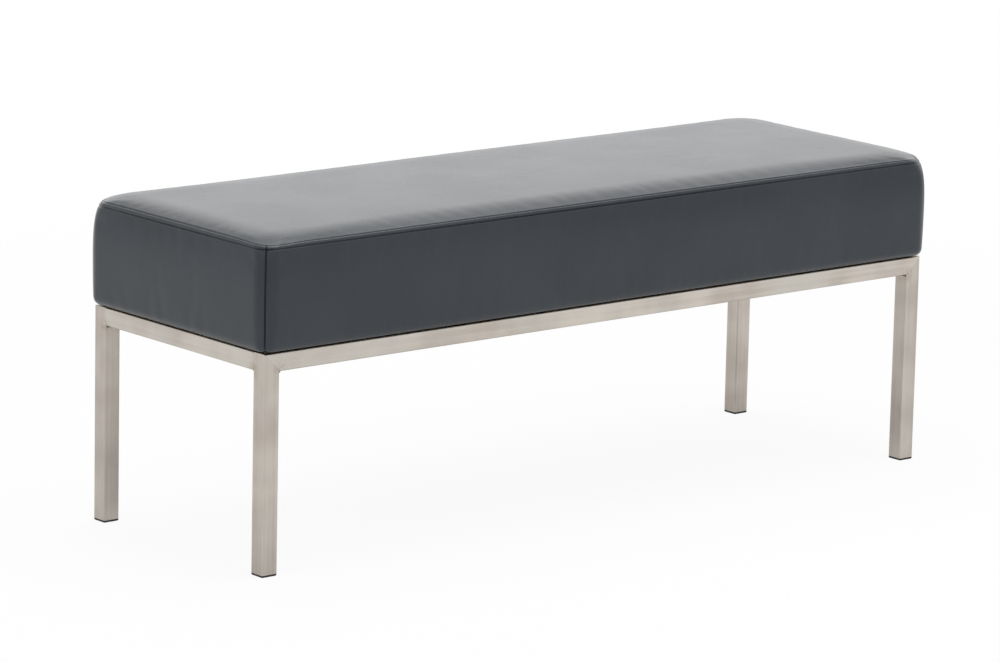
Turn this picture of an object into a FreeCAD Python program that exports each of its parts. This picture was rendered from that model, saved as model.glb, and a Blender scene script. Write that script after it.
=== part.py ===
"""Three-seat bench: an upholstered pad screwed to a welded frame of square stainless tube.

Lengths are in millimetres. X runs along the bench, Y from front to rear, Z up.
The origin is on the floor, under the middle of the bench.
"""

import FreeCAD
import Part

import math
import os

from FreeCAD import Vector

# Overall sizes
seat_length = 1200.0  # pad at its widest, along X
seat_depth = 400.0  # pad at its widest, along Y
frame_height = 300.0  # floor to the top of the steel frame
pad_height = 156.0  # top of the frame to the crown of the pad
frame_inset = 9.0  # frame's outer faces, in from the pad's widest line

# Square tube of the rails and legs
tube_side = 25.0
tube_wall = 1.5
tube_corner = 2.5  # outside corner radius
weld_size = 3.0  # side of a weld bead
weld_crest = 0.6  # height of a bead's round face, as a share of its side

# Glides, the plastic inserts that close the legs
glide_flange = 3.0  # thickness that shows under the leg
glide_chamfer = 1.0
glide_depth = 18.0  # plug length inside the tube
glide_wall = 2.0  # wall of the hollow plug
glide_ribs = 2
glide_rib = 1.2  # thickness of one gripping rib
glide_rib_reach = 1.9  # out from the plug
glide_rib_lead = 2.0  # first rib below the end of the plug
glide_rib_cut = 1.0  # cut corners of the ribs
glide_clearance = 0.1  # between the ribs and the tube

# Tabs welded inside the long rails, where the pad is screwed on
tab_length = 40.0
tab_reach = 36.0
tab_thickness = 3.0
tab_corner = 6.0  # cut corners
tab_hole_clearance = 0.5  # radial, screw to tab
tab_hole_reach = 20.0  # hole centre from the rail
tab_end_distance = 220.0  # tabs' centres from the ends of the frame

# Screws, washers and threaded inserts that hold the pad
screw_diameter = 6.0
screw_end_gap = 0.8  # screw's end below the top of its insert
screw_head = 12.0
screw_head_height = 4.0
screw_socket = 4.0  # across flats
screw_socket_depth = 2.4
washer_diameter = 18.0
washer_thickness = 1.6
insert_wall = 1.95
insert_hole_spare = 1.0  # depth of the board's hole past the insert
insert_cover = 2.0  # wood left above the hole
thread_clearance = 0.05  # radial, screw to insert and washer
wood_clearance = 0.1  # radial, insert to board

# Seat board and the soft parts of the pad
board_thickness = 15.0
board_edge_gap = 2.5  # board's edge, in from the round bottom edge of the pad
cover_thickness = 1.2
foam_clearance = 0.3  # between the foam and its cover
dust_cover_thickness = 0.8
dust_cover_gap = 2.5  # between the dust cover and the rails
dust_cover_lap = 10.5  # over the turned edge of the cover
dust_cover_hole_gap = 1.5  # radial, screw to dust cover
dust_cover_clearance = 0.2  # between the dust cover and the tabs

# Shape of the pad, seen in section
pad_corner = 22.0  # plan radius of the upright corners, at the widest line
base_round = 7.5  # radius of the bottom edge
widest_height = 72.0  # widest line above the frame
seam_drop = 16.5  # top seam below the crown
seam_draw = 2.5  # side at the top seam, in from the widest line
edge_round = 9.5  # radius of the top edge above the seam
shoulder_slope = 18.0  # degrees, where the top edge runs into the crown
shoulder_steps = 3
shoulder_soften = 0.5  # growth of the plan corner across the crown

# Sizes that follow
frame_length = seat_length - 2 * frame_inset
frame_depth = seat_depth - 2 * frame_inset
leg_x = (frame_length - tube_side) / 2
leg_y = (frame_depth - tube_side) / 2
rail_bottom = frame_height - tube_side
rail_inner_y = frame_depth / 2 - tube_side
tube_bore = tube_side - 2 * tube_wall
glide_core = tube_bore - 2 * (glide_clearance + glide_rib_reach)
board_bottom = frame_height + cover_thickness
board_top = board_bottom + board_thickness
tab_top = frame_height - dust_cover_thickness - dust_cover_clearance
tab_bottom = tab_top - tab_thickness
screw_seat = tab_bottom - washer_thickness
screw_radius = screw_diameter / 2
insert_bore = screw_radius + thread_clearance
insert_radius = insert_bore + insert_wall
insert_length = board_thickness - insert_hole_spare - insert_cover
screw_length = board_bottom + insert_length - screw_end_gap - screw_seat
screw_x = frame_length / 2 - tab_end_distance
screw_y = rail_inner_y - tab_hole_reach
seam_height = pad_height - seam_drop
dust_cover_edge = frame_inset + tube_side + dust_cover_gap
cover_turn_under = dust_cover_edge + dust_cover_lap
past = 50.0  # how far cutting shapes run past what they cut

rows = {"front": -1, "rear": 1}
ends = {"left": -1, "right": 1}
pad_side_names = list(rows) + list(ends)
up = Vector(0, 0, 1)


def line(start, end):
    return Part.LineSegment(start, end).toShape()


def rounded_rectangle(length, depth, corner, z):
    """Wire of a rectangle with round corners, centred on the Z axis."""
    hx, hy = length / 2, depth / 2
    bend = corner * (1 - math.sqrt(0.5))
    edges = []
    for sx, sy in ((1, -1), (1, 1), (-1, 1), (-1, -1)):
        on_end = Vector(sx * hx, sy * (hy - corner), z)
        on_side = Vector(sx * (hx - corner), sy * hy, z)
        middle = Vector(sx * (hx - bend), sy * (hy - bend), z)
        first, last = (on_side, on_end) if sx * sy < 0 else (on_end, on_side)
        if edges:
            edges.append(line(edges[-1].Vertexes[-1].Point, first))
        edges.append(Part.Arc(first, middle, last).toShape())
    edges.append(line(edges[-1].Vertexes[-1].Point, edges[0].Vertexes[0].Point))
    return Part.Wire(edges)


def upright(wire, height):
    """Solid that stands on a flat wire."""
    return Part.Face(wire).extrude(up * height)


def prism(points, along):
    """Solid made by moving a flat polygon along a vector."""
    return Part.Face(Part.makePolygon(points + points[:1])).extrude(along)


def block(length, depth, low, high):
    """Box centred on the Z axis, between two heights."""
    return Part.makeBox(length, depth, high - low, Vector(-length / 2, -depth / 2, low))


def square_tube(length):
    """Square tube along +Z from the origin, centred on the axis."""
    outside = upright(rounded_rectangle(tube_side, tube_side, tube_corner, 0), length)
    return outside.cut(block(tube_bore, tube_bore, 0, length))


# Frame

def mitre_block():
    """Trapezoid between the 45 degree cuts of a long rail, through the whole depth."""
    half, y = frame_length / 2, frame_depth / 2 + past
    points = [
        Vector(-half - past, -y, frame_height + past),
        Vector(half + past, -y, frame_height + past),
        Vector(half - tube_side - past, -y, rail_bottom - past),
        Vector(tube_side + past - half, -y, rail_bottom - past),
    ]
    return prism(points, Vector(0, 2 * y, 0))


def leg(end, row):
    """Leg, mitred at the top to its long rail."""
    tube = square_tube(frame_height - glide_flange)
    tube.translate(Vector(end * leg_x, row * leg_y, glide_flange))
    return tube.cut(mitre_block())


def long_rail(row):
    """Long rail, mitred at both ends to its legs."""
    tube = square_tube(frame_length)
    tube.rotate(Vector(), Vector(0, 1, 0), 90)
    tube.translate(Vector(-frame_length / 2, row * leg_y, frame_height - tube_side / 2))
    return tube.common(mitre_block())


def end_rail(end):
    """Short rail, butted between the front and rear legs."""
    length = 2 * rail_inner_y
    tube = square_tube(length)
    tube.rotate(Vector(), Vector(1, 0, 0), -90)
    tube.translate(Vector(end * leg_x, -length / 2, frame_height - tube_side / 2))
    return tube


def weld_bead(root, side, along, length):
    """Round bead in the corner below a flat face. Side points away from the upright face."""
    out, down = side * weld_size, up * -weld_size
    crest = root + (out + down) * weld_crest
    face = Part.Face(Part.Wire([
        line(root, root + out),
        Part.Arc(root + out, crest, root + down).toShape(),
        line(root + down, root),
    ]))
    face.translate(along * (-length / 2))
    return face.extrude(along * length)


def corner_welds():
    """Two beads at every leg: under the long rail and under the end rail."""
    width = tube_side - 2 * tube_corner
    leg_inner_x = frame_length / 2 - tube_side
    beads = []
    for end in ends.values():
        for row in rows.values():
            on_long = Vector(end * leg_inner_x, row * leg_y, rail_bottom)
            on_end = Vector(end * leg_x, row * rail_inner_y, rail_bottom)
            beads.append(weld_bead(on_long, Vector(-end, 0, 0), Vector(0, 1, 0), width))
            beads.append(weld_bead(on_end, Vector(0, -row, 0), Vector(1, 0, 0), width))
    return Part.makeCompound(beads)


def mounting_tab(end, row):
    """Drilled plate with two cut corners, standing in from a long rail."""
    half, short = tab_length / 2, tab_length / 2 - tab_corner
    outline = ((half, 0), (half, tab_reach - tab_corner), (short, tab_reach))
    outline += tuple((-x, reach) for x, reach in reversed(outline))
    points = [Vector(end * screw_x + x, row * (rail_inner_y - reach), tab_bottom) for x, reach in outline]
    centre = Vector(end * screw_x, row * screw_y, tab_bottom)
    hole = Part.makeCylinder(screw_radius + tab_hole_clearance, tab_thickness, centre)
    return prism(points, up * tab_thickness).cut(hole)


def tab_welds():
    """One bead under every tab, along its rail."""
    length = tab_length - 2 * tab_corner
    beads = []
    for row in rows.values():
        for end in ends.values():
            root = Vector(end * screw_x, row * rail_inner_y, tab_bottom)
            beads.append(weld_bead(root, Vector(0, -row, 0), Vector(1, 0, 0), length))
    return Part.makeCompound(beads)


def glide_rib_plate(low):
    """Square gripping rib with cut corners."""
    half = tube_bore / 2 - glide_clearance
    short = half - glide_rib_cut
    points = []
    for sx, sy in ((1, -1), (1, 1), (-1, 1), (-1, -1)):
        pair = [Vector(sx * short, sy * half, low), Vector(sx * half, sy * short, low)]
        points += pair if sx * sy < 0 else pair[::-1]
    return prism(points, up * glide_rib)


def glide(end, row):
    """Floor glide: a chamfered flange and a hollow plug with gripping ribs."""
    flange = upright(rounded_rectangle(tube_side, tube_side, tube_corner, 0), glide_flange)
    flange = flange.makeChamfer(glide_chamfer, [e for e in flange.Edges if e.BoundBox.ZMax < glide_chamfer])
    top = glide_flange + glide_depth
    first_rib = top - glide_rib_lead - glide_rib
    pitch = glide_depth / glide_ribs
    ribs = [glide_rib_plate(first_rib - pitch * count) for count in range(glide_ribs)]
    hollow = glide_core - 2 * glide_wall
    solid = flange.fuse([block(glide_core, glide_core, glide_flange, top)] + ribs)
    solid = solid.cut(block(hollow, hollow, glide_flange, top)).removeSplitter()
    solid.translate(Vector(end * leg_x, row * leg_y, 0))
    return solid


# Fasteners

def screw_places():
    """Points on the floor below the pad's screws."""
    return [Vector(end * screw_x, row * screw_y, 0) for row in rows.values() for end in ends.values()]


def pad_screw(place):
    """Socket screw, driven up through its tab."""
    foot = place + up * (screw_seat - screw_head_height)
    head = Part.makeCylinder(screw_head / 2, screw_head_height, foot)
    corner = screw_socket / math.sqrt(3)
    points = []
    for count in range(6):
        turn = math.radians(60 * count)
        points.append(foot + Vector(corner * math.cos(turn), corner * math.sin(turn), 0))
    head = head.cut(prism(points, up * screw_socket_depth))
    shank = Part.makeCylinder(screw_radius, screw_length, place + up * screw_seat)
    return head.fuse(shank).removeSplitter()


def washer(place):
    """Flat washer between a screw's head and its tab."""
    foot = place + up * screw_seat
    hole = Part.makeCylinder(screw_radius + thread_clearance, washer_thickness, foot)
    return Part.makeCylinder(washer_diameter / 2, washer_thickness, foot).cut(hole)


def threaded_insert(place):
    """Sleeve let into the underside of the board."""
    foot = place + up * board_bottom
    bore = Part.makeCylinder(insert_bore, insert_length, foot)
    return Part.makeCylinder(insert_radius, insert_length, foot).cut(bore)


# Pad
# A profile is a flat face in XZ. Its x is the distance out from the corner axes, which stand
# pad_corner in from the widest line on both sides of each corner.

def pad_side(name):
    """Length of a side between its corner axes, their distance from the middle, and the side's heading."""
    run_x, run_y = seat_length - 2 * pad_corner, seat_depth - 2 * pad_corner
    if name in ends:
        return run_y, run_x / 2, {"right": 0, "left": 180}[name]
    return run_x, run_y / 2, {"rear": 90, "front": 270}[name]


def place_on_side(shape, name):
    """Move a shape made for a side that faces +X to its own side of the pad."""
    distance, heading = pad_side(name)[1:]
    shape.translate(Vector(distance, 0, 0))
    shape.rotate(Vector(), up, heading)
    return shape


def swept_side(profile, name, turns):
    """Profile run along one side and on round its corners, by an angle at each end."""
    half = pad_side(name)[0] / 2
    start = profile.translated(Vector(0, -half, 0))
    corners = []
    for y, turn in zip((-half, half), turns):
        if turn:
            corners.append(profile.translated(Vector(0, y, 0)).revolve(Vector(0, y, 0), up, turn))
    return start.extrude(Vector(0, 2 * half, 0)).fuse(corners)


def band(profile):
    """Solid slice of the pad: a profile swept round all four sides, and the block inside it."""
    sides = [place_on_side(swept_side(profile, name, (0, 90)), name) for name in pad_side_names]
    low, high = profile.BoundBox.ZMin, profile.BoundBox.ZMax
    core = block(seat_length - 2 * pad_corner, seat_depth - 2 * pad_corner, low, high)
    return core.fuse(sides).removeSplitter()


def arc_point(centre, radius, degrees):
    """Point of a profile's arc: 0 points out, 90 up, -90 down."""
    turn = math.radians(degrees)
    return centre + Vector(math.cos(turn), 0, math.sin(turn)) * radius


def arc(centre, radius, first, last):
    points = [arc_point(centre, radius, degrees) for degrees in (first, (first + last) / 2, last)]
    return Part.Arc(*points).toShape()


def bend(centre, radius, first, last, offset):
    """Round edge of the pad's outer face. Inside it, foam and cover meet on a straight bevel."""
    if offset:
        return line(arc_point(centre, radius, first), arc_point(centre, radius, last))
    return arc(centre, radius, first, last)


def side_bulge():
    """Radius of the bulging side, through its widest line and the seam."""
    rise = seam_height - widest_height
    return (rise**2 + seam_draw**2) / (2 * seam_draw)


def base_tilt(offset):
    """Where the round bottom edge runs into the side, in degrees."""
    drop = widest_height - base_round
    return -math.degrees(math.asin(drop / (side_bulge() - base_round + offset)))


def base_centre(offset):
    """Centre of the round bottom edge, an offset inside the outer face."""
    return arc_point(side_centre(offset), side_bulge() - base_round + offset, base_tilt(offset))


def side_centre(offset):
    return Vector(pad_corner - offset - side_bulge(), 0, frame_height + widest_height)


def wall_profile(offset):
    """Side of the pad from its bottom to the seam, an offset inside the outer face."""
    seam_tilt = math.degrees(math.asin((seam_height - widest_height) / side_bulge()))
    base = bend(base_centre(offset), base_round - offset, -90, base_tilt(offset), offset)
    side = arc(side_centre(offset), side_bulge(), base_tilt(offset), seam_tilt)
    low, high = base.Vertexes[0].Point, side.Vertexes[-1].Point
    foot, head = Vector(0, 0, low.z), Vector(0, 0, high.z)
    return Part.Face(Part.Wire([line(foot, low), base, side, line(high, head), line(head, foot)]))


def edge_profile(offset):
    """Top edge of the pad, from the seam to the shoulder."""
    centre = Vector(pad_corner - seam_draw - edge_round, 0, frame_height + seam_height)
    edge = bend(centre, edge_round - offset, 0, 90 - shoulder_slope, offset)
    low, high = edge.Vertexes[0].Point, edge.Vertexes[-1].Point
    foot, head = Vector(0, 0, low.z), Vector(0, 0, high.z)
    return Part.Face(Part.Wire([line(foot, low), edge, line(high, head), line(head, foot)]))


def shoulder(offset):
    """Crown of the pad, a loft from the shoulder to the flat middle of the seat."""
    start = math.radians(90 - shoulder_slope)
    radius = (seam_drop - edge_round * math.sin(start)) / (1 - math.sin(start))
    inset = seam_draw + edge_round + (radius - edge_round) * math.cos(start)
    height = frame_height + pad_height - radius
    outlines = []
    for step in range(shoulder_steps + 1):
        turn = start + math.radians(shoulder_slope) * step / shoulder_steps
        there = inset - (radius - offset) * math.cos(turn)
        if not outlines:
            first = there
        corner = pad_corner - first + shoulder_soften * (there - first)
        length, depth = seat_length - 2 * there, seat_depth - 2 * there
        level = height + (radius - offset) * math.sin(turn)
        outlines.append(rounded_rectangle(length, depth, corner, level))
    return Part.makeLoft(outlines, True, True)


def pad_crown(offset):
    """Pad above the top seam."""
    return band(edge_profile(offset)).fuse(shoulder(offset)).removeSplitter()


def board_outline(z):
    """Outline of the seat board, on the flat part of the cover's turned edge."""
    corner = base_centre(cover_thickness).x - board_edge_gap
    inset = pad_corner - corner
    return rounded_rectangle(seat_length - 2 * inset, seat_depth - 2 * inset, corner, z)


def seat_board():
    """Plywood panel with a blind hole for every threaded insert."""
    radius, depth = insert_radius + wood_clearance, insert_length + insert_hole_spare
    holes = [Part.makeCylinder(radius, depth, place + up * board_bottom) for place in screw_places()]
    return upright(board_outline(board_bottom), board_thickness).cut(holes)


def foam_core():
    """Foam block on the board, a little wider than the board all round."""
    inside = cover_thickness + foam_clearance
    below = block(seat_length, seat_depth, frame_height, board_top)
    return band(wall_profile(inside)).cut(below).fuse(pad_crown(inside)).removeSplitter()


def top_cover():
    """Top panel of the cover, down to the seam."""
    return pad_crown(0).cut(pad_crown(cover_thickness))


def side_cover(name):
    """Side panel of the cover, from corner seam to corner seam, turned under the board."""
    wall = swept_side(wall_profile(0).cut(wall_profile(cover_thickness)), name, (-45, 45))
    half, reach = pad_side(name)[0] / 2, cover_turn_under - pad_corner
    corners = ((0, -half), (0, half), (-reach, half - reach), (-reach, reach - half))
    flap = prism([Vector(x, y, frame_height) for x, y in corners], up * cover_thickness)
    return place_on_side(wall.fuse(flap).removeSplitter(), name)


def dust_cover():
    """Cloth under the board, inside the frame, with a hole for every screw."""
    length, depth = seat_length - 2 * dust_cover_edge, seat_depth - 2 * dust_cover_edge
    low = frame_height - dust_cover_thickness
    radius = screw_radius + dust_cover_hole_gap
    holes = [Part.makeCylinder(radius, dust_cover_thickness, place + up * low) for place in screw_places()]
    return block(length, depth, low, frame_height).cut(holes)


def bench_parts():
    """Every piece of the bench by name."""
    parts = {}
    for row_name, row in rows.items():
        parts[row_name + "_rail"] = long_rail(row)
        for end_name, end in ends.items():
            corner = "_" + row_name + "_" + end_name
            parts["leg" + corner] = leg(end, row)
            parts["glide" + corner] = glide(end, row)
            parts["tab" + corner] = mounting_tab(end, row)
    for end_name, end in ends.items():
        parts[end_name + "_end_rail"] = end_rail(end)
    parts["corner_welds"] = corner_welds()
    parts["tab_welds"] = tab_welds()
    fasteners = {"pad_screws": pad_screw, "washers": washer, "threaded_inserts": threaded_insert}
    for name, make in fasteners.items():
        parts[name] = Part.makeCompound([make(place) for place in screw_places()])
    parts["seat_board"] = seat_board()
    parts["foam_core"] = foam_core()
    parts["cover_top"] = top_cover()
    for name in pad_side_names:
        parts["cover_" + name] = side_cover(name)
    parts["dust_cover"] = dust_cover()
    return parts


os.makedirs("parts", exist_ok=True)
for name, shape in bench_parts().items():
    shape.exportStep("parts/" + name + ".step")
    print(name, "solids", len(shape.Solids), "valid", shape.isValid(), "volume", round(shape.Volume, 1))
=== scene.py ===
import math

import bpy
import numpy as np
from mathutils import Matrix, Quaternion, Vector, noise


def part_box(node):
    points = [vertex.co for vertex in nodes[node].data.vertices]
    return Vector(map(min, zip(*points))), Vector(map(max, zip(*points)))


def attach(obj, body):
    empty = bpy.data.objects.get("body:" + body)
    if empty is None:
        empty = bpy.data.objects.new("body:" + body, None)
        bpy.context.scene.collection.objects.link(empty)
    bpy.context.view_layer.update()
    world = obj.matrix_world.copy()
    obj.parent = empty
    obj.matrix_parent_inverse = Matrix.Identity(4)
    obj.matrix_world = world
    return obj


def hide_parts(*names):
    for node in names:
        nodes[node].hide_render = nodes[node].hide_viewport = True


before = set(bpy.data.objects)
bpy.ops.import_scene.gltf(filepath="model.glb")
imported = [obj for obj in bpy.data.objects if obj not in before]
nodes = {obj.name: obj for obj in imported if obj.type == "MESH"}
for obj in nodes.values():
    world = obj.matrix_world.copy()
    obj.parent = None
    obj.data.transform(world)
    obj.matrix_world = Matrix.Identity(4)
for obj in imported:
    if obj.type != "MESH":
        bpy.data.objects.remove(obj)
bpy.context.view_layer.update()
scene = bpy.context.scene
scene.view_settings.view_transform = "Standard"
mm = 0.001
tiny = 1e-9  # keeps a division off zero
white = (1, 1, 1, 1)
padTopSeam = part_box("cover_top")[0].z
corners = ["front_left", "front_right", "rear_left", "rear_right"]
print("frame loaded,", len(nodes), "nodes")


# Shader maths

class Value:  # an output that takes part in Python maths
    def __init__(self, shop, output):
        self.shop, self.output = shop, output

    def maths(self, operation, *others):
        return self.shop.node("Math", {"operation": operation}, dict(enumerate((self, *others))))

    def __add__(self, other):
        return self.maths("ADD", other)

    def __sub__(self, other):
        return self.maths("SUBTRACT", other)

    def __rsub__(self, other):
        return self.shop.node("Math", {"operation": "SUBTRACT"}, {0: other, 1: self})

    def __mul__(self, other):
        return self.maths("MULTIPLY", other)

    def __abs__(self):
        return self.maths("ABSOLUTE")

    __radd__ = __add__
    __rmul__ = __mul__


class Shop:  # makes and joins the nodes of one tree
    def __init__(self, tree):
        self.tree = tree

    def node(self, kind, settings, inputs, output=0):
        made = self.tree.nodes.new("ShaderNode" + kind)
        for name, value in settings.items():
            setattr(made, name, value)
        for key, value in inputs.items():
            self.feed(made.inputs[key], value)
        return Value(self, made.outputs[output])

    def feed(self, socket, value):
        if isinstance(value, Value):
            self.tree.links.new(value.output, socket)
        else:
            socket.default_value = value

    def spot(self, stretch=(1, 1, 1)):  # place on the object in metres, scaled along each axis
        place = self.node("TexCoord", {}, {}, "Object")
        return self.node("VectorMath", {"operation": "MULTIPLY"}, {0: place, 1: stretch})

    def axis(self, name):
        return self.node("SeparateXYZ", {}, {0: self.spot()}, name)

    def cloud(self, scale, stretch=(1, 1, 1), detail=2.0):
        inputs = {"Vector": self.spot(stretch), "Scale": scale, "Detail": detail}
        return self.node("TexNoise", {}, inputs)

    def ramp(self, value, low, high):  # 0 below low, 1 above high
        inputs = {"Value": value, "From Min": low, "From Max": high}
        return self.node("MapRange", {"interpolation_type": "SMOOTHSTEP"}, inputs)

    def blend(self, mask, first, second):
        return self.node("Mix", {"data_type": "RGBA"}, {0: mask, 6: first, 7: second}, 2)

    def bump(self, height, depth, strength=1.0):
        inputs = {"Height": height, "Distance": depth, "Strength": strength}
        return self.node("Bump", {}, inputs)


def rgb(red, green, blue):  # screen colour, 0 to 255, as a shader's linear colour
    shares = [channel / 255 for channel in (red, green, blue)]
    linear = [share / 12.92 if share <= 0.04045 else ((share + 0.055) / 1.055) ** 2.4 for share in shares]
    return (*linear, 1.0)


def newFinish(name, constants):
    material = bpy.data.materials.new(name)
    material.use_nodes = True
    shop = Shop(material.node_tree)
    sockets = material.node_tree.nodes["Principled BSDF"].inputs
    for socket, value in constants.items():
        sockets[socket].default_value = value
    return material, shop, sockets


# Finishes

leather = {
    "dark": rgb(27, 35, 43),
    "light": rgb(36, 44, 52),
    "toneShares": (0.55, 0.35, 0.1),  # of patches, pebbles and streaks
    "patches": 9,  # per metre
    "contrast": (0.35, 0.65),
    "pebble": 1.3 * mm,
    "pebbleDepth": 0.02 * mm,
    "crease": 0.16,  # share of a pebble that is valley
    "fine": 420,  # per metre
    "fineShare": 0.5,
    "grain": (60 * mm, 4 * mm),  # length and width of faint streaks, level on top and upright on the sides
    "grainDepth": 0.008 * mm,
    "sideFineness": 0.5,  # of the sides' streaks, beside those on top
    "sideGrain": (0.3, 0.4),  # least and spread of the sides' streaks
    "turnReach": 2 * mm,  # each way from the top seam, where the streaks turn
    "roughness": 0.20,
    "roughShares": (0.03, 0.04, 0.03),  # of patches, creases and streaks
    "bump": 0.6,
}


def leatherFinish():
    constants = {"Specular IOR Level": 0.45, "Coat Weight": 0.15, "Coat Roughness": 0.15}
    material, shop, sockets = newFinish("fauxLeather", constants)
    inputs = {"Vector": shop.spot(), "Scale": 1 / leather["pebble"]}
    edges = shop.node("TexVoronoi", {"feature": "DISTANCE_TO_EDGE"}, inputs, "Distance")
    pebbles = shop.ramp(edges, 0, leather["crease"])
    patches = shop.ramp(shop.cloud(leather["patches"], detail=3.0), *leather["contrast"])
    fine = shop.cloud(leather["fine"])
    reach = leather["turnReach"]
    onTop = shop.ramp(shop.axis("Z"), padTopSeam - reach, padTopSeam + reach)
    long, narrow = (1 / size for size in leather["grain"])
    level = shop.cloud(1.0, (long, narrow, long))
    upright = shop.cloud(leather["sideFineness"], (narrow, narrow, long), detail=0.0)
    least, spread = leather["sideGrain"]
    grain = onTop * level + (1 - onTop) * (least + spread * upright)
    streaks = shop.ramp(grain, *leather["contrast"])
    byPatch, byPebble, byStreak = leather["toneShares"]
    tone = byPatch * patches + byPebble * pebbles + byStreak * streaks
    shop.feed(sockets["Base Color"], shop.blend(tone, leather["dark"], leather["light"]))
    byPatch, byCrease, byStreak = leather["roughShares"]
    rough = leather["roughness"] + byPatch * patches + byCrease * (1 - pebbles) + byStreak * grain
    shop.feed(sockets["Roughness"], rough)
    grainShare = leather["grainDepth"] / leather["pebbleDepth"]
    relief = pebbles + leather["fineShare"] * fine + grainShare * grain
    shop.feed(sockets["Normal"], shop.bump(relief, leather["pebbleDepth"], leather["bump"]))
    return material


steel = {
    "pale": rgb(211, 203, 194),
    "dull": rgb(188, 179, 170),
    "toneShares": (0.25, 0.2, 0.55),  # of bands, brushing marks and mottle
    "mottle": 14,  # per metre
    "contrast": (0.36, 0.64),
    "cool": rgb(202, 200, 192),  # patches on the rails
    "coolShare": 0.6,
    "coolPatches": 5,  # per metre
    "coolContrast": (0.4, 0.6),
    # painted shade: the legs a little darker than the rails, for the light that they reflect
    "legPaintedShade": rgb(150, 142, 133),
    "legShare": 0.16,
    "tint": rgb(150, 134, 112),  # left by the heat beside the welds
    "tintShare": 0.45,
    "tintSpecks": 160,  # per metre
    "tintContrast": (0.3, 0.7),
    "tintReach": (3.0 * mm, 16.0 * mm),
    "line": rgb(96, 90, 84),  # along a ground joint
    "lineShare": 0.10,
    "hairline": (0.15 * mm, 0.7 * mm),
    "streak": (60.0 * mm, 0.6 * mm),  # length and width of the brushing marks
    "band": (700.0 * mm, 5.0 * mm),
    "markDepth": 0.006 * mm,
    "roughness": 0.30,
    "roughShares": (0.12, 0.2),  # of brushing marks and joints
}


def brushing(shop, along, mark):
    stretch = [1 / mark[1]] * 3
    stretch[along] = 1 / mark[0]
    return shop.cloud(1.0, stretch)


def steelFinish(name, along):  # along is the number of the axis that the brushing follows
    material, shop, sockets = newFinish(name, {"Metallic": 1.0})
    marks = brushing(shop, along, steel["streak"])
    bands = brushing(shop, along, steel["band"])
    byBand, byMark, byMottle = steel["toneShares"]
    tone = byBand * bands + byMark * marks + byMottle * shop.cloud(steel["mottle"])
    colour = shop.blend(shop.ramp(tone, *steel["contrast"]), steel["dull"], steel["pale"])
    across, depth, height = (abs(shop.axis(letter)) for letter in "XYZ")
    railLow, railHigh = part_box("front_rail")
    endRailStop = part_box("left_end_rail")[1].y
    fromUnder = height - railLow.z
    toLong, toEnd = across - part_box("leg_front_right")[0].x, depth - endRailStop
    away, awayEnd = ((reach * reach + fromUnder * fromUnder).maths("SQRT") for reach in (toLong, toEnd))
    away = away.maths("MINIMUM", awayEnd)
    if along == 2:
        # painted shade on the legs
        colour = shop.blend(steel["legShare"], colour, steel["legPaintedShade"])
    else:
        cool = shop.ramp(shop.cloud(steel["coolPatches"]), *steel["coolContrast"])
        colour = shop.blend(steel["coolShare"] * cool, colour, steel["cool"])
    specks = shop.ramp(shop.cloud(steel["tintSpecks"]), *steel["tintContrast"])
    tint = (1 - shop.ramp(away, *steel["tintReach"])) * specks
    colour = shop.blend(steel["tintShare"] * tint, colour, steel["tint"])
    if along == 1:
        gap = abs(depth - endRailStop)
    else:
        gap = abs((railHigh.x - across) - (railHigh.z - height))
    joint = 1 - shop.ramp(gap, *steel["hairline"])
    shop.feed(sockets["Base Color"], shop.blend(steel["lineShare"] * joint, colour, steel["line"]))
    byMark, byJoint = steel["roughShares"]
    shop.feed(sockets["Roughness"], steel["roughness"] + byMark * marks + byJoint * joint)
    shop.feed(sockets["Normal"], shop.bump(marks, steel["markDepth"]))
    return material


def mottledFinish(name, look, constants):  # one noise gives the colour, the roughness and the relief
    material, shop, sockets = newFinish(name, constants)
    mottle = shop.cloud(1 / look["size"], detail=look["detail"])
    colour = shop.blend(shop.ramp(mottle, *look["contrast"]), look["low"], look["high"])
    shop.feed(sockets["Base Color"], colour)
    least, spread = look["roughness"]
    shop.feed(sockets["Roughness"], least + spread * mottle)
    shop.feed(sockets["Normal"], shop.bump(mottle, look["depth"]))
    return material


weld = {
    "low": rgb(104, 90, 76),  # scale between the ripples
    "high": rgb(156, 146, 134),
    "size": 1.6 * mm,
    "detail": 3.0,
    "contrast": (0.4, 0.65),
    "depth": 0.15 * mm,
    "roughness": (0.38, 0.2),  # least and spread, as in the next three
}
zinc = {
    "low": rgb(176, 178, 174),
    "high": rgb(204, 206, 204),
    "size": 2 * mm,
    "detail": 3.0,
    "contrast": (0.35, 0.65),
    "depth": 0.01 * mm,
    "roughness": (0.26, 0.14),
}
glide = {
    "black": rgb(26, 26, 27),
    "worn": rgb(46, 46, 47),
    "wear": (0.2 * mm, 1.2 * mm),  # heights above the floor between which the wear fades
    "wearSpread": 0.8 * mm,
    "wearSpecks": 300,  # per metre
    "texture": 0.5 * mm,
    "textureDepth": 0.03 * mm,
    "roughness": (0.48, 0.15),
}


def glideFinish():
    material, shop, sockets = newFinish("glidePlastic", {})
    texture = shop.cloud(1 / glide["texture"])
    height = shop.axis("Z") + glide["wearSpread"] * shop.cloud(glide["wearSpecks"])
    wear = 1 - shop.ramp(height, *glide["wear"])
    shop.feed(sockets["Base Color"], shop.blend(wear, glide["black"], glide["worn"]))
    least, spread = glide["roughness"]
    shop.feed(sockets["Roughness"], least + spread * texture)
    shop.feed(sockets["Normal"], shop.bump(texture, glide["textureDepth"]))
    return material


plywood = {
    "late": rgb(176, 138, 92),
    "early": rgb(217, 187, 144),
    "figure": (9, 90, 400),  # fineness along, across and through the board
    "contrast": (0.35, 0.65),
    "figureDepth": 0.1 * mm,
    "ply": 2.1 * mm,
    "glue": rgb(110, 78, 48),
    "glueShare": 0.7,
    "glueLine": (0.05 * mm, 0.3 * mm),
    "roughness": (0.62, 0.15),
}


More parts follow.
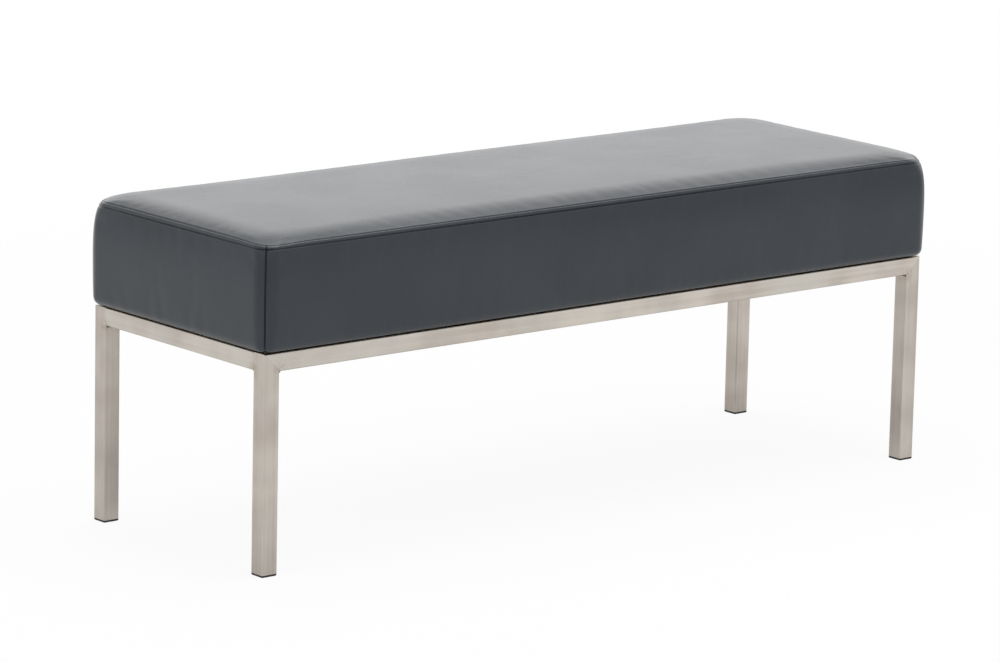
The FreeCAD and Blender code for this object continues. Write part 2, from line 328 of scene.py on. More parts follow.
def plywoodFinish():
    material, shop, sockets = newFinish("plywood", {})
    figure = shop.cloud(1.0, plywood["figure"], detail=4.0)
    wood = shop.blend(shop.ramp(figure, *plywood["contrast"]), plywood["late"], plywood["early"])
    plies = shop.axis("Z").maths("PINGPONG", plywood["ply"])
    glueLine = 1 - shop.ramp(plies, *plywood["glueLine"])
    shop.feed(sockets["Base Color"], shop.blend(plywood["glueShare"] * glueLine, wood, plywood["glue"]))
    least, spread = plywood["roughness"]
    shop.feed(sockets["Roughness"], least + spread * figure)
    shop.feed(sockets["Normal"], shop.bump(figure, plywood["figureDepth"]))
    return material


cloth = {
    "black": rgb(38, 38, 40),
    "fibre": rgb(64, 64, 66),
    "fibres": 700,  # per metre
    "fibreStretch": (1, 3, 1),
    "contrast": (0.35, 0.7),
    "bond": 1.8 * mm,  # pitch of the bond points
    "bondEdge": (0.55, 0.9),
    "bondDepth": 0.12 * mm,
    "roughness": (0.9, 0.25),  # of the fibres, and its loss on the bond points
}


def clothFinish():
    material, shop, sockets = newFinish("dustCloth", {"Specular IOR Level": 0.25})
    across, along = ((shop.axis(letter) * (math.pi / cloth["bond"])).maths("SINE") for letter in "XY")
    points = shop.ramp(abs(across * along), *cloth["bondEdge"])
    fibres = shop.cloud(cloth["fibres"], cloth["fibreStretch"], detail=4.0)
    colour = shop.blend(shop.ramp(fibres, *cloth["contrast"]), cloth["black"], cloth["fibre"])
    shop.feed(sockets["Base Color"], colour)
    most, loss = cloth["roughness"]
    shop.feed(sockets["Roughness"], most - loss * points)
    shop.feed(sockets["Normal"], shop.bump(fibres - points, cloth["bondDepth"]))
    return material


def dress(names, material):
    for name in names:
        mesh = nodes[name].data
        mesh.materials.clear()
        mesh.materials.append(material)


steelByAxis = [steelFinish("brushedSteel" + name, along) for along, name in enumerate("XYZ")]
leatherCover = leatherFinish()
zincPlate = mottledFinish("zincPlate", zinc, {"Metallic": 1.0})
dress(["front_rail", "rear_rail"] + ["tab_" + corner for corner in corners], steelByAxis[0])
dress(["left_end_rail", "right_end_rail"], steelByAxis[1])
dress(["leg_" + corner for corner in corners], steelByAxis[2])
dress(["corner_welds", "tab_welds"], mottledFinish("weldBead", weld, {"Metallic": 1.0}))
dress(["glide_" + corner for corner in corners], glideFinish())
dress(["pad_screws", "washers", "threaded_inserts"], zincPlate)
dress(["seat_board"], plywoodFinish())
print("finishes made")


# Pad: rings of points from the turned-under edge up the sides and over the top edge, closed by two grids

pad = {  # lists of four are the corners' own, from the front left round by the right
    "cornerRadius": 24 * mm,  # seen from above, at the widest line
    "widestHeight": 72 * mm,  # above the steel
    "seamDraw": 2.5 * mm,  # side at the seam, in from the widest line
    "baseRound": 5.5 * mm,
    "baseRise": 1.8 * mm,  # bottom edge, above the turned-under strip that rests on the steel
    "baseReach": 14 * mm,  # width of the strip that rises
    "baseTight": 3 * mm,  # loss of the corner radius at the bottom
    "cornerEase": np.array([3, 14, 6, 12]) * mm,  # growth of the corner radius at the top seam
    "easeOver": 0.8,  # share of that growth that the round edge adds above the seam
    "edgeRound": 8.5 * mm,
    "edgeTurn": 72,  # degrees that the round edge turns before the crown
    "rise": 15.5 * mm,  # crown above the top seam
    "lift": 0.2 * mm,  # off the steel
    "cornerDrop": np.array([4, 5, 2.5, 3]) * mm,  # crown's fall at the corners
    "cornerReach": 38 * mm,
    "cornerSag": np.array([0, 5, 1, 4]) * mm,  # fall of the seam and the crown together
    "sagReach": 24 * mm,
    "slope": np.array([2.8, 1.6, 0.8, 0.4]) * mm,  # crown's fall towards the front, right, rear, left
    "seamLoss": np.array([0, 0.75, 0.3, 0.75]),  # share of the top seam's depth lost at the corners
    "seamStep": 0.8 * mm,  # between points beside a seam
    "seamSteps": 12,
    "growth": 1.35,  # of each step beyond those
    "widestStep": 8 * mm,
}
filling = {
    "step": 10 * mm,  # between the points of the blank
    "cap": 3 * mm,  # furthest that a point swells
    "shy": 18 * mm,  # reach of the blank's slack beside its seams
    "middle": 100 * mm,  # stretch of a side that its corners don't reach
    "pressure": 4.0,
    "folds": 0.4,  # share of the swell's folds that stays
    "slack": 0.003,  # growth of the cover over the blank
    "stiffness": 20.0,
    "bending": 0.4,
    "frames": 20,
}
padHalf = np.array([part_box("cover_right")[1].x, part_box("cover_rear")[1].y])
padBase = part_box("cover_front")[0].z + pad["lift"]
padSeam = padTopSeam - padBase
padCrown = padSeam + pad["rise"]
flapInset = padHalf[1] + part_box("cover_front")[1].y
padSides = [((1, 0), (0, -1)), ((0, 1), (1, 0)), ((-1, 0), (0, 1)), ((0, -1), (-1, 0))]  # along, outward


def spread(length, first, repeats, both):  # distances along a line, closer beside its seams
    lead = [first] * repeats
    step = first
    while step < pad["widestStep"]:
        lead.append(step)
        step *= pad["growth"]
    tail = lead[::-1] if both else []
    rest = length - sum(lead) - sum(tail)
    count = max(1, round(rest / max(first, pad["widestStep"])))
    return np.concatenate([[0], np.cumsum(lead + [rest / count] * count + tail)])


def arcLine(centre, radius, first, last, count=40):  # inset and height, turning from outward up to level
    turn = np.radians(np.linspace(first, last, count))
    return np.stack([centre[0] - radius * np.cos(turn), centre[1] + radius * np.sin(turn)], 1)


def wallLine():
    rise, draw, base = padSeam - pad["widestHeight"], pad["seamDraw"], pad["baseRound"]
    bulge = (rise**2 + draw**2) / (2 * draw)
    centre = base + pad["baseRise"]
    tilt = math.asin((pad["widestHeight"] - centre) / (bulge - base))
    baseInset = bulge - (bulge - base) * math.cos(tilt)
    lowTurn, highTurn = -math.degrees(tilt), math.degrees(math.asin(rise / bulge))
    flap = np.array([[flapInset, 0], [baseInset + pad["baseReach"], 0]])
    low = arcLine((baseInset, centre), base, -90, lowTurn)
    high = arcLine((bulge, pad["widestHeight"]), bulge, lowTurn, highTurn)
    return np.concatenate([flap, low, high[1:]])


def topLine():
    start, edge = math.radians(pad["edgeTurn"]), pad["edgeRound"]
    radius = (padCrown - padSeam - edge * math.sin(start)) / (1 - math.sin(start))
    inset = pad["seamDraw"] + edge + (radius - edge) * math.cos(start)
    edgeArc = arcLine((pad["seamDraw"] + edge, padSeam), edge, 0, pad["edgeTurn"])
    crownArc = arcLine((inset, padCrown - radius), radius, pad["edgeTurn"], 90)
    return np.concatenate([edgeArc, crownArc[1:]])


def lengths(line):
    return np.concatenate([[0], np.cumsum(np.linalg.norm(np.diff(line, axis=0), axis=1))])


def readLine(line, distances):
    along = lengths(line)
    return np.stack([np.interp(distances, along, values) for values in line.T], 1)


def ringPoints(inset, radii, fractions):  # round the pad, from corner seam to corner seam on each side
    points = []
    for side, (along, outward) in enumerate(padSides):
        half, out = padHalf[side % 2] - inset, padHalf[1 - side % 2] - inset
        ends = [max(radii[(side + end) % 4], tiny) for end in (0, 1)]
        arcs = [math.pi / 4 * radius for radius in ends]
        straight = 2 * half - sum(ends)
        run = fractions[side][:-1] * (straight + sum(arcs)) - arcs[0]
        turns = [np.clip(run, -arcs[0], 0) / ends[0], np.clip(run - straight, 0, arcs[1]) / ends[1]]
        placeAlong = np.clip(run, 0, straight) + ends[0] - half
        placeAlong = placeAlong + sum(radius * np.sin(turn) for radius, turn in zip(ends, turns))
        placeOut = out - sum(radius * (1 - np.cos(turn)) for radius, turn in zip(ends, turns))
        points.append(np.outer(placeAlong, along) + np.outer(placeOut, outward))
    return np.concatenate(points)


def padSkin(first, repeats):
    wall, top = wallLine(), topLine()
    wallAt = spread(lengths(wall)[-1], first, repeats, True)
    topAt = spread(lengths(top)[-1], first, repeats, False)
    along = np.concatenate([wallAt - wallAt[-1], topAt[1:]])  # from the seam, down and up
    profile = np.concatenate([readLine(wall, wallAt), readLine(top, topAt[1:])])
    seamRow, last = len(wallAt) - 1, len(along) - 1
    sides = [2 * padHalf[side % 2] + (math.pi / 2 - 2) * pad["cornerRadius"] for side in range(4)]
    fractions = [spread(length, first, repeats, True) / length for length in sides]
    inner = profile[-1, 0]
    seamRadius = pad["cornerRadius"] - pad["seamDraw"] + pad["cornerEase"]
    rings = []
    for row, (inset, height) in enumerate(profile):
        if row > seamRow:
            over = pad["easeOver"] * min((height - padSeam) / pad["edgeRound"], 1)
            radii = (seamRadius + over * pad["cornerEase"]) * (inner - inset) / (inner - pad["seamDraw"])
            flat = ringPoints(inset, radii, fractions)
            share = (row - seamRow) / (last - seamRow)
            level = crownLevel(flat, share) + height - padCrown
        else:
            ease = max(height - pad["widestHeight"], 0) / (padSeam - pad["widestHeight"])
            tight = pad["baseTight"] * (1 - min(height / pad["widestHeight"], 1)) ** 2
            radii = max(pad["cornerRadius"] - inset - tight, 0) + pad["cornerEase"] * ease**4
            flat = ringPoints(inset, radii, fractions)
            level = np.full(len(flat), padBase + height)
        up = np.clip((height - pad["widestHeight"]) / (padSeam - pad["widestHeight"]), 0, 1)
        rings.append(np.column_stack([flat, level - up**2 * nearCorners(flat, "cornerSag", "sagReach")]))
    grid, under = (flatGrid(fractions, inset) for inset in (inner, flapInset))
    middle = grid.reshape(-1, 3)[:, :2]
    level = crownLevel(middle, 1) - nearCorners(middle, "cornerSag", "sagReach")
    grid[..., 2] = level.reshape(grid.shape[:2])
    fromCorner = [np.minimum(share, 1 - share)[:-1] * length for share, length in zip(fractions, sides)]
    return {
        "rings": np.array(rings),
        "grid": grid,
        "under": under,
        "along": along,
        "profile": profile,
        "fractions": fractions,
        "fromCorner": np.concatenate(fromCorner),
        "seamRow": seamRow,
    }


def flatGrid(fractions, inset):
    xs, ys = ((padHalf[axis] - inset) * (2 * fractions[axis] - 1) for axis in (0, 1))
    across, deep = np.meshgrid(xs, ys, indexing="ij")
    return np.stack([across, deep, np.full_like(across, padBase)], 2)


def nearCorners(flat, amounts, reach):  # each corner's own amount, fading with the distance from it
    fall = np.zeros(len(flat))
    for amount, way in zip(pad[amounts], [(-1, -1), (1, -1), (1, 1), (-1, 1)]):
        fall += amount * np.exp(-((np.linalg.norm(padHalf * way - flat, axis=1) / pad[reach]) ** 2))
    return fall


def crownLevel(flat, share):  # share is 0 at the seam and 1 on the crown
    fall = nearCorners(flat, "cornerDrop", "cornerReach")
    for (along, outward), slope in zip(padSides, pad["slope"]):
        fall += slope * np.clip(flat / padHalf @ outward, 0, 1) ** 2
    return padBase + padCrown - share * fall


def gridNumbers(skin, under=False):  # vertex numbers of a grid, bordered by the last or the first ring
    rows, count = skin["rings"].shape[:2]
    nx, ny = (len(skin["fractions"][axis]) - 1 for axis in (0, 1))
    number = np.zeros((nx + 1, ny + 1), int)
    within = (nx - 1) * (ny - 1)
    border, first = (0, rows * count + within) if under else ((rows - 1) * count, rows * count)
    number[:-1, 0] = border + np.arange(nx)
    number[-1, :-1] = border + nx + np.arange(ny)
    number[:0:-1, -1] = border + nx + ny + np.arange(nx)
    number[0, :0:-1] = border + 2 * nx + ny + np.arange(ny)
    number[1:-1, 1:-1] = first + np.arange(within).reshape(nx - 1, ny - 1)
    return number


def skinPoints(skin):
    inside = [skin[name][1:-1, 1:-1].reshape(-1, 3) for name in ("grid", "under")]
    return np.concatenate([skin["rings"].reshape(-1, 3)] + inside)


def bandFaces(number):  # quads between rings of vertex numbers, each ring a row
    beside = np.roll(number, -1, axis=-1)
    quads = [number[..., :-1, :], beside[..., :-1, :], beside[..., 1:, :], number[..., 1:, :]]
    return np.stack(quads, -1).reshape(-1, 4).tolist()


def skinFaces(skin):
    rows, count = skin["rings"].shape[:2]
    faces = bandFaces(np.arange(rows * count).reshape(rows, count))
    for under in (False, True):
        number = gridNumbers(skin, under)
        quads = [number[:-1, :-1], number[1:, :-1], number[1:, 1:], number[:-1, 1:]]
        quads = np.stack(quads, 2).reshape(-1, 4)
        faces += (quads[:, ::-1] if under else quads).tolist()
    return faces


def newPiece(name, points, faces, material):
    mesh = bpy.data.meshes.new(name)
    mesh.from_pydata([tuple(point) for point in points], [], faces)
    mesh.polygons.foreach_set("use_smooth", [True] * len(mesh.polygons))
    mesh.update()
    if material:
        mesh.materials.append(material)
    piece = bpy.data.objects.new(name, mesh)
    scene.collection.objects.link(piece)
    return piece


def outwardWays(skin):  # outward direction of each column, and each row's share of outward and up
    radii = np.full(4, pad["cornerRadius"])
    plan = ringPoints(0, radii, skin["fractions"]) - ringPoints(mm, radii - mm, skin["fractions"])
    plan /= np.linalg.norm(plan, axis=1, keepdims=True)
    inward, upward = np.gradient(skin["profile"], skin["along"], axis=0).T
    size = np.hypot(inward, upward)
    return plan, upward / size, inward / size


def fromSeam(distance):
    return 1 - np.exp(-((distance / filling["shy"]) ** 2))


def slackPad(skin):  # the pad before it is filled, lower between its seams
    plan, out, up = outwardWays(skin)
    depth = filling["cap"] * fromSeam(skin["along"])[:, None]
    depth = np.where(skin["along"][:, None] < 0, depth * fromSeam(skin["fromCorner"]), depth)
    depth[skin["profile"][:, 1] < pad["baseRound"]] = 0
    slack = dict(skin, rings=skin["rings"].copy(), grid=skin["grid"].copy())
    slack["rings"][..., :2] -= (depth * out[:, None])[..., None] * plan
    slack["rings"][..., 2] -= depth * up[:, None]
    slack["grid"][..., 2] -= filling["cap"]
    return slack


def fillPad(blank):  # the sewn cover swells over its foam, held at its seams and its turned-under edge
    rows, count = blank["rings"].shape[:2]
    start = skinPoints(slackPad(blank))
    piece = newPiece("padBlank", start, skinFaces(blank), None)
    held = np.zeros((rows, count), bool)
    held[blank["profile"][:, 1] < pad["baseRound"]] = True
    held[blank["seamRow"]] = True
    starts = np.cumsum([0] + [len(side) - 1 for side in blank["fractions"][:3]])
    held[:blank["seamRow"], starts] = True
    piece.vertex_groups.new(name="sewn").add(np.flatnonzero(held).tolist(), 1.0, "REPLACE")
    modifier = piece.modifiers.new("filling", "CLOTH")
    settings = modifier.settings
    settings.vertex_group_mass = "sewn"
    settings.use_pressure = True
    settings.uniform_pressure_force = filling["pressure"]
    settings.shrink_min = -filling["slack"]
    settings.tension_stiffness = settings.compression_stiffness = filling["stiffness"]
    settings.shear_stiffness = filling["stiffness"] / 2
    settings.bending_stiffness = filling["bending"]
    settings.effector_weights.gravity = 0
    modifier.collision_settings.use_collision = False
    modifier.point_cache.frame_start = 1
    modifier.point_cache.frame_end = filling["frames"]
    for step in range(1, filling["frames"] + 1):
        scene.frame_set(step)
    swollen = piece.evaluated_get(bpy.context.evaluated_depsgraph_get()).data
    found = np.empty(len(swollen.vertices) * 3)
    swollen.vertices.foreach_get("co", found)
    scene.frame_set(1)
    bpy.data.objects.remove(piece)
    move = found.reshape(-1, 3) - start
    size = np.linalg.norm(move, axis=1, keepdims=True)
    print("pad filled, free swell up to", round(size.max() / mm, 1), "mm")
    move *= filling["cap"] * np.tanh(size / filling["cap"]) / np.maximum(size, tiny)
    return keepSection(blank, start + move - skinPoints(blank))


def keepSection(blank, move):  # leaves the swell's folds, and takes out what would change the section
    rows, count = blank["rings"].shape[:2]
    plan = outwardWays(blank)[0]
    ringMove = move[:rows * count].reshape(rows, count, 3)
    middle = blank["fromCorner"] > filling["middle"]
    share = np.where(blank["along"][:, None] < 0, fromSeam(blank["fromCorner"]), 1)
    out, up = (ringMove[..., :2] * plan).sum(2), ringMove[..., 2]
    out = out - share * np.median(out[:, middle], axis=1)[:, None]
    level = np.median(up[:, middle], axis=1)[:, None]
    up = up - share * level
    gridMove = move[rows * count:] * (0, 0, 1) - (0, 0, level[-1, 0])
    folds = np.dstack([out[..., None] * plan, up])
    return filling["folds"] * np.concatenate([folds.reshape(-1, 3), gridMove])


def smoothRead(field, at, to):  # cubic reading of a field along its first axis
    slope = np.gradient(field, at, axis=0)
    cell = np.clip(np.searchsorted(at, to) - 1, 0, len(at) - 2)
    shape = (-1,) + (1,) * (field.ndim - 1)
    gap = (at[cell + 1] - at[cell]).reshape(shape)
    share = ((to - at[cell]).reshape(shape) / gap).clip(0, 1)
    rise = field[cell + 1] - field[cell]
    first, second = slope[cell] * gap - rise, rise - slope[cell + 1] * gap
    return field[cell] + share * rise + share * (1 - share) * ((1 - share) * first + share * second)


def takeSwell(skin, blank, move):  # lays the blank's movement on the finer skin
    rows, count = blank["rings"].shape[:2]
    ringMove = move[:rows * count].reshape(rows, count, 3)
    ringMove = smoothRead(ringMove, blank["along"], skin["along"])
    start, parts = 0, []
    for coarse, fine in zip(blank["fractions"], skin["fractions"]):
        reach = np.arange(start, start + len(coarse)) % count
        side = smoothRead(ringMove[:, reach].swapaxes(0, 1), coarse, fine).swapaxes(0, 1)
        parts.append(side[:, :-1])
        start += len(coarse) - 1
    skin["rings"] += np.concatenate(parts, axis=1)
    gridMove = move[gridNumbers(blank)]
    gridMove = smoothRead(gridMove, blank["fractions"][0], skin["fractions"][0]).swapaxes(0, 1)
    skin["grid"] += smoothRead(gridMove, blank["fractions"][1], skin["fractions"][1]).swapaxes(0, 1)


seam = {
    "groove": (2.2 * mm, 0.9 * mm),  # depth and half width
    "cornerGroove": (2.4 * mm, 0.8 * mm),
    "cornerFade": 5 * mm,  # height over which that groove starts at the bottom
    "ridge": (0.5 * mm, 2.2 * mm),  # height and half width
    "ridgeAt": 3.6 * mm,  # from the seam, on the top panel
    "stitchAt": 5.7 * mm,
    "edgeGroove": (1.3 * mm, 0.8 * mm),  # upper edge of the stitched band
    "edgeAt": 7.4 * mm,
    "pucker": 0.2 * mm,
    "puckerLength": 22 * mm,
    "puckerShare": 0.5,  # how fast the puckers change away from the seam, beside along it
    "puckerReach": 14 * mm,
}


def hump(distance, size):
    return size[0] * np.exp(-((distance / size[1]) ** 2))


def sewSeams(skin):
    plan, out, up = outwardWays(skin)
    run = skin["along"][:, None]
    fromCorner = skin["fromCorner"]
    ring = skin["rings"][skin["seamRow"]]
    kept = 1 - nearCorners(ring[:, :2], "seamLoss", "sagReach")
    relief = hump(run - seam["ridgeAt"], seam["ridge"]) - hump(run, seam["groove"])
    relief = kept * (relief - hump(run - seam["edgeAt"], seam["edgeGroove"]))
    start = np.clip(skin["profile"][:, 1] / seam["cornerFade"], 0, 1)[:, None]
    corner = hump(fromCorner - seam["ridgeAt"], seam["ridge"]) / 2 - hump(fromCorner, seam["cornerGroove"])
    relief = relief + np.where(run < seam["edgeAt"], start, 0) * corner[None, :]
    places, rows = lengths(ring), skin["along"] * seam["puckerShare"]
    near = np.exp(-np.abs(run) / seam["puckerReach"])
    spots = [[Vector((place, row, 0)) / seam["puckerLength"] for place in places] for row in rows]
    waves = np.array([[noise.noise(spot) for spot in line] for line in spots])
    relief = relief + seam["pucker"] * near * waves
    skin["rings"][..., :2] += (relief * out[:, None])[..., None] * plan[None]
    skin["rings"][..., 2] += relief * up[:, None]


skin = padSkin(pad["seamStep"], pad["seamSteps"])
blank = padSkin(filling["step"], 0)
takeSwell(skin, blank, fillPad(blank))
sewSeams(skin)
seatPad = newPiece("seat_pad", skinPoints(skin), skinFaces(skin), leatherCover)
smoother = seatPad.modifiers.new("smoother", "SUBSURF")
smoother.levels = smoother.render_levels = 1
smoother.use_limit_surface = False
coverNodes = ["cover_" + name for name in ("top", "front", "rear", "left", "right")]
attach(seatPad, "root")
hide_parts("foam_core", *coverNodes)
print("pad sewn,", len(seatPad.data.vertices), "points")


# Stitching along the top seam

thread = {
    "low": rgb(96, 98, 101),
    "high": rgb(146, 148, 151),
    "size": 0.625 * mm,
    "detail": 2.0,
    "contrast": (0.35, 0.65),
    "depth": 0.05 * mm,
    "roughness": (0.5, 0.2),
}
stitch = {
    "pitch": 5.0 * mm,
    "length": 4.0 * mm,
    "thread": 0.45 * mm,
    "taper": (0.7, 0.3),  # share of the thread's width at a stitch's ends, and what its middle adds
    "rise": 0.35 * mm,
    "sink": 0.10 * mm,
    "points": 6,
}


def tubes(paths, widths, ways, sides=6):  # closed tubes along many short paths of equal count
    tangent = np.gradient(paths, axis=1)
    tangent /= np.linalg.norm(tangent, axis=2, keepdims=True)
    side = np.cross(tangent, ways)
    side /= np.linalg.norm(side, axis=2, keepdims=True)
    over = np.cross(side, tangent)
    turn = np.arange(sides) * 2 * math.pi / sides
    ring = np.cos(turn)[:, None] * side[:, :, None] + np.sin(turn)[:, None] * over[:, :, None]
    points = paths[:, :, None] + widths[None, :, None, None] * ring
    count, steps = paths.shape[:2]
    number = np.arange(count * steps * sides).reshape(count, steps, sides)
    caps = number[:, 0, ::-1].tolist() + number[:, -1].tolist()
    return points.reshape(-1, 3), bandFaces(number) + caps


def stitchRow(skin):
    plan, out, up = outwardWays(skin)
    row = np.searchsorted(skin["along"], seam["stitchAt"])
    low, high = skin["along"][row - 1], skin["along"][row]
    share = (seam["stitchAt"] - low) / (high - low)
    line = (1 - share) * skin["rings"][row - 1] + share * skin["rings"][row]
    away = np.column_stack([plan * out[row], np.full(len(plan), up[row])])
    line, away = np.vstack([line, line[:1]]), np.vstack([away, away[:1]])
    along = lengths(line)
    count = int(along[-1] / stitch["pitch"])
    within = np.linspace(0, 1, stitch["points"])
    starts = np.arange(count) * along[-1] / count
    at = starts[:, None] + within[None, :] * stitch["length"]
    paths, ways = (np.stack([np.interp(at, along, part) for part in lines.T], 2) for lines in (line, away))
    arch = np.sin(math.pi * within)
    paths += ways * (stitch["rise"] * arch - stitch["sink"])[None, :, None]
    ends, more = stitch["taper"]
    return tubes(paths, stitch["thread"] * (ends + more * arch), ways)


sewingThread = mottledFinish("sewingThread", thread, {"Specular IOR Level": 0.4})
stitches = newPiece("top_stitching", *stitchRow(skin), sewingThread)
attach(stitches, "root")
print("stitching laid")


# Dust cloth under the pad, and its staples

dust = {
    "step": 12 * mm,
    "thickness": 0.5 * mm,
    "sag": 1.6 * mm,
    "sagReach": 120 * mm,
    "wrinkle": 0.25 * mm,
    "wrinkleWaves": (9, 40),  # per metre, along and across
    "wrinkleSlice": 3,  # of the noise
    "slotClear": 2 * mm,  # between a slot's edge and the next grid line
}
clothLow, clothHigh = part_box("dust_cover")
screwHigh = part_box("pad_screws")[1]
screwHead = 6 * mm  # radius, and half the width of the cloth's slots
holeX, holeY = screwHigh.x - screwHead, screwHigh.y - screwHead
clothSize = clothHigh - clothLow
clothUnder = clothLow.z


def clothLines(half, hole):  # grid lines with a slot at each screw
    even = np.linspace(-half, half, 2 * round(half / dust["step"]) + 1)
    edges = (hole - screwHead, hole + screwHead)
    clear = [line for line in even if min(abs(abs(line) - edge) for edge in edges) > dust["slotClear"]]
    return np.array(sorted(clear + [sign * edge for sign in (-1, 1) for edge in edges]))


def dustSheet():
    xs, ys = clothLines(clothSize.x / 2, holeX), clothLines(clothSize.y / 2, holeY)
    alongWaves, acrossWaves = dust["wrinkleWaves"]
    points = []
    for x in xs:
        for y in ys:
            hang = dust["sag"] * max(0, 1 - (y / dust["sagReach"]) ** 2) ** 2
            hang *= 1 - (x / xs[-1]) ** 4
            place = Vector((x * alongWaves, y * acrossWaves, dust["wrinkleSlice"]))
            crease = dust["wrinkle"] * noise.noise(place) * min(1, hang / mm)
            points.append((x, y, clothUnder - hang + crease))
    faces = []
    for column in range(len(xs) - 1):
        for row in range(len(ys) - 1):
            middle = Vector(((xs[column] + xs[column + 1]) / 2, (ys[row] + ys[row + 1]) / 2))
            slot = abs(abs(middle.x) - holeX) < screwHead and abs(abs(middle.y) - holeY) < screwHead
            if not slot:
                here, beside = column * len(ys) + row, (column + 1) * len(ys) + row
                faces.append([here, here + 1, beside + 1, beside])
    return points, faces


dustCloth = newPiece("dust_cloth", *dustSheet(), clothFinish())
thicken = dustCloth.modifiers.new("thicken", "SOLIDIFY")
thicken.thickness, thicken.offset = dust["thickness"], -1
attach(dustCloth, "root")
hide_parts("dust_cover")


staple = {
    "pitch": 42 * mm,
    "crown": 10 * mm,
    "wire": 0.45 * mm,
    "edge": 6 * mm,  # in from the cloth's edge
    "proud": 0.35 * mm,
    "bend": [(-1, 1), (-1, -0.2), (-0.8, -1), (0.8, -1), (1, -0.2), (1, 1)],  # along half a crown, and up
}


def staplePaths():
    paths = []
    for side, (along, outward) in enumerate(padSides):
        half, out = (clothSize[axis] / 2 - staple["edge"] for axis in (side % 2, 1 - side % 2))
        count = round(2 * half / staple["pitch"])
        for middle in np.linspace(-half, half, count, endpoint=False) + half / count:
            path = []
            for reach, up in staple["bend"]:
                place = np.array(along) * (middle + reach * staple["crown"] / 2) + np.array(outward) * out
                path.append((*place, clothUnder + up * staple["proud"]))
            paths.append(path)
    return np.array(paths)


bent = staplePaths()
sideways = np.cross(bent[:, -1] - bent[:, 0], (0, 0, 1))
widths = np.full(bent.shape[1], staple["wire"])
ways = np.repeat(sideways[:, None], bent.shape[1], axis=1)
staples = newPiece("staples", *tubes(bent, widths, ways), zincPlate)
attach(staples, "root")
print("cloth and staples laid")


# Ground welds between the end rails and the round corners of the legs

ground = {
    "corner": 2.5 * mm,  # radius of the tubes' corners
    "sunk": 0.03 * mm,
    "depth": 1.4 * mm,
    "lap": 0.3 * mm,
    "ends": 1.0 * mm,
    "rows": 9,
}


def groundWelds():
    low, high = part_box("right_end_rail")
    radius = ground["corner"]
    levels = np.linspace(low.z + ground["ends"], high.z - ground["ends"] / 2, ground["rows"])
    fromEdge = radius - np.minimum(radius, np.minimum(levels - low.z, high.z - levels))
    rail = high.x - ground["sunk"] - radius + np.sqrt(radius**2 - fromEdge**2)
    leg = np.full_like(rail, high.x - ground["sunk"])
    near, far = high.y - ground["lap"], high.y + radius
    sections = [(leg - ground["depth"], near), (rail, near), (leg, far), (leg - ground["depth"], far)]
    column = np.stack([np.stack([x, np.full_like(x, y), levels], 1) for x, y in sections], 1)
    points, faces = [], []
    for end in (-1, 1):
        for row in (-1, 1):
            number = np.arange(column[..., 0].size).reshape(column.shape[:2])
            number += sum(len(done) for done in points)
            made = bandFaces(number) + [number[0, ::-1].tolist(), number[-1].tolist()]
            faces += made if end * row > 0 else [face[::-1] for face in made]
            points.append((column * (end, row, 1)).reshape(-1, 3))
    return np.concatenate(points), faces


flushWelds = newPiece("ground_welds", *groundWelds(), steelByAxis[2])
flushWelds.data.polygons.foreach_set("use_smooth", [False] * len(flushWelds.data.polygons))
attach(flushWelds, "root")
print("ground welds laid")


# Floor, light and camera

studio = {
    "floor": rgb(240, 240, 240),
    "floorHalf": 12.0,
    "speckle": 40,  # per metre
    "speckleShare": 0.1,
    "world": 0.55,  # light from all round
    "shadow": 0.08,  # share of the matt floor that shows
    "shadowEnd": (1.0, 2.6),  # distances from the middle between which that share fades
    "mirroredWorld": 0.90,
    "mirroredFloor": (0.30, 0.70),  # everywhere, and more in a ring round the bench: a painted pool of light in the reflections, which leaves them darker next to the bench
    "lightRingStart": (1.25, 2.1),  # distances between which the painted ring of light comes, and goes
    "lightRingEnd": (2.4, 3.6),
}


def seenDirectly(shop, mirrored):  # 1 for the camera's own rays, and mirrored for reflected ones
    kinds = ("Is Camera Ray", "Is Glossy Ray", "Is Transmission Ray")
    camera, glossy, through = (shop.node("LightPath", {}, {}, kind) for kind in kinds)
    return camera.maths("MAXIMUM", mirrored * glossy).maths("MAXIMUM", through)


def paleFloor():
    half = studio["floorHalf"]
    flat = [(-half, -half, 0), (half, -half, 0), (half, half, 0), (-half, half, 0)]
    floor = newPiece("floor", flat, [[0, 1, 2, 3]], None)
    material, shop, sockets = newFinish("paleFloor", {"Roughness": 1.0, "Specular IOR Level": 0.0})
    across, deep = shop.axis("X"), shop.axis("Y")
    away = (across * across + deep * deep).maths("SQRT")
    # painted light: in reflections the floor glows more brightly in a ring round the bench
    ring = shop.ramp(away, *studio["lightRingStart"]) * (1 - shop.ramp(away, *studio["lightRingEnd"]))
    least, more = studio["mirroredFloor"]
    seen = seenDirectly(shop, least + more * ring)
    speckle = studio["speckleShare"] * shop.cloud(studio["speckle"], detail=3.0)
    shop.feed(sockets["Base Color"], shop.blend(speckle, studio["floor"], white))
    matt = Value(shop, material.node_tree.nodes["Principled BSDF"].outputs[0])
    glow = shop.node("Emission", {}, {"Color": white, "Strength": 1.0})
    shaded = studio["shadow"] * (1 - shop.ramp(away, *studio["shadowEnd"]))
    both = shop.node("MixShader", {}, {0: seen * (1 - shaded), 1: matt, 2: glow})
    under = shop.node("NewGeometry", {}, {}, "Backfacing")
    clear = shop.node("BsdfTransparent", {}, {})
    oneSided = shop.node("MixShader", {}, {0: under, 1: both, 2: clear})
    shop.feed(material.node_tree.nodes["Material Output"].inputs["Surface"], oneSided)
    floor.data.materials.append(material)


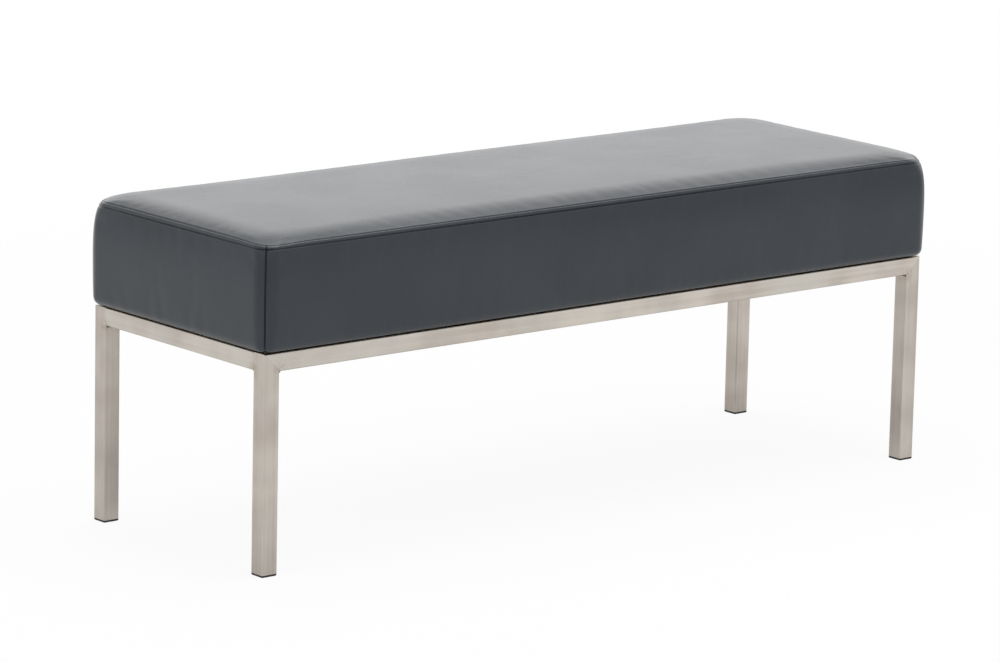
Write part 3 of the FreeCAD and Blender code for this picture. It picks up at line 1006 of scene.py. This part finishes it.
def whiteRoom():
    world = bpy.data.worlds.new("studio")
    scene.world = world
    world.use_nodes = True
    shop = Shop(world.node_tree)
    seen = seenDirectly(shop, studio["mirroredWorld"])
    strength = studio["world"] + (1 - studio["world"]) * seen
    background = world.node_tree.nodes["Background"]
    background.inputs["Color"].default_value = white
    shop.feed(background.inputs["Strength"], strength)


softboxAim = (0, 0, 0.35)
softboxes = {
    "overhead": {"place": (0.2, 0.0, 2.6), "size": (2.6, 1.6), "watts": 40, "mirrored": True},
    "left": {"place": (-2.6, -0.6, 1.5), "size": (1.6, 1.4), "watts": 13, "mirrored": False},
    "right": {"place": (2.1, -2.5, 1.2), "size": (1.4, 1.2), "watts": 13, "mirrored": False},
    "backdrop": {"place": (1.9, 2.9, 1.5), "size": (3.4, 1.8), "watts": 4, "mirrored": True},
}


def softLights():
    for name, box in softboxes.items():
        lamp = bpy.data.lights.new(name, "AREA")
        lamp.shape = "RECTANGLE"
        lamp.size, lamp.size_y = box["size"]
        lamp.energy = box["watts"]
        holder = bpy.data.objects.new(name, lamp)
        holder.location = box["place"]
        aim = Vector(softboxAim) - holder.location
        holder.rotation_mode = "QUATERNION"
        holder.rotation_quaternion = aim.to_track_quat("-Z", "Y")
        holder.visible_camera = False
        holder.visible_glossy = box["mirrored"]
        scene.collection.objects.link(holder)


viewpoint = {
    "azimuth": -39.82,  # degrees, as the next two
    "elevation": 12.17,
    "roll": 1.27,
    "aim": (-0.0211, 0.0164, 0.2260),
    "distance": 7.3345,
    "lens": 188.55,
    "sensor": 36,
}


def photoCamera():
    turn, tilt = math.radians(viewpoint["azimuth"]), math.radians(viewpoint["elevation"])
    back = Vector((math.sin(turn) * math.cos(tilt), -math.cos(turn) * math.cos(tilt), math.sin(tilt)))
    camera = bpy.data.objects.new("camera", bpy.data.cameras.new("camera"))
    camera.data.sensor_width = viewpoint["sensor"]
    camera.data.lens = viewpoint["lens"]
    camera.location = Vector(viewpoint["aim"]) + back * viewpoint["distance"]
    level = (-back).to_track_quat("-Z", "Y")
    camera.rotation_mode = "QUATERNION"
    camera.rotation_quaternion = level @ Quaternion((0, 0, 1), math.radians(viewpoint["roll"]))
    scene.collection.objects.link(camera)
    scene.camera = camera


paleFloor()
whiteRoom()
softLights()
photoCamera()
print("stage set")

bpy.context.view_layer.update()
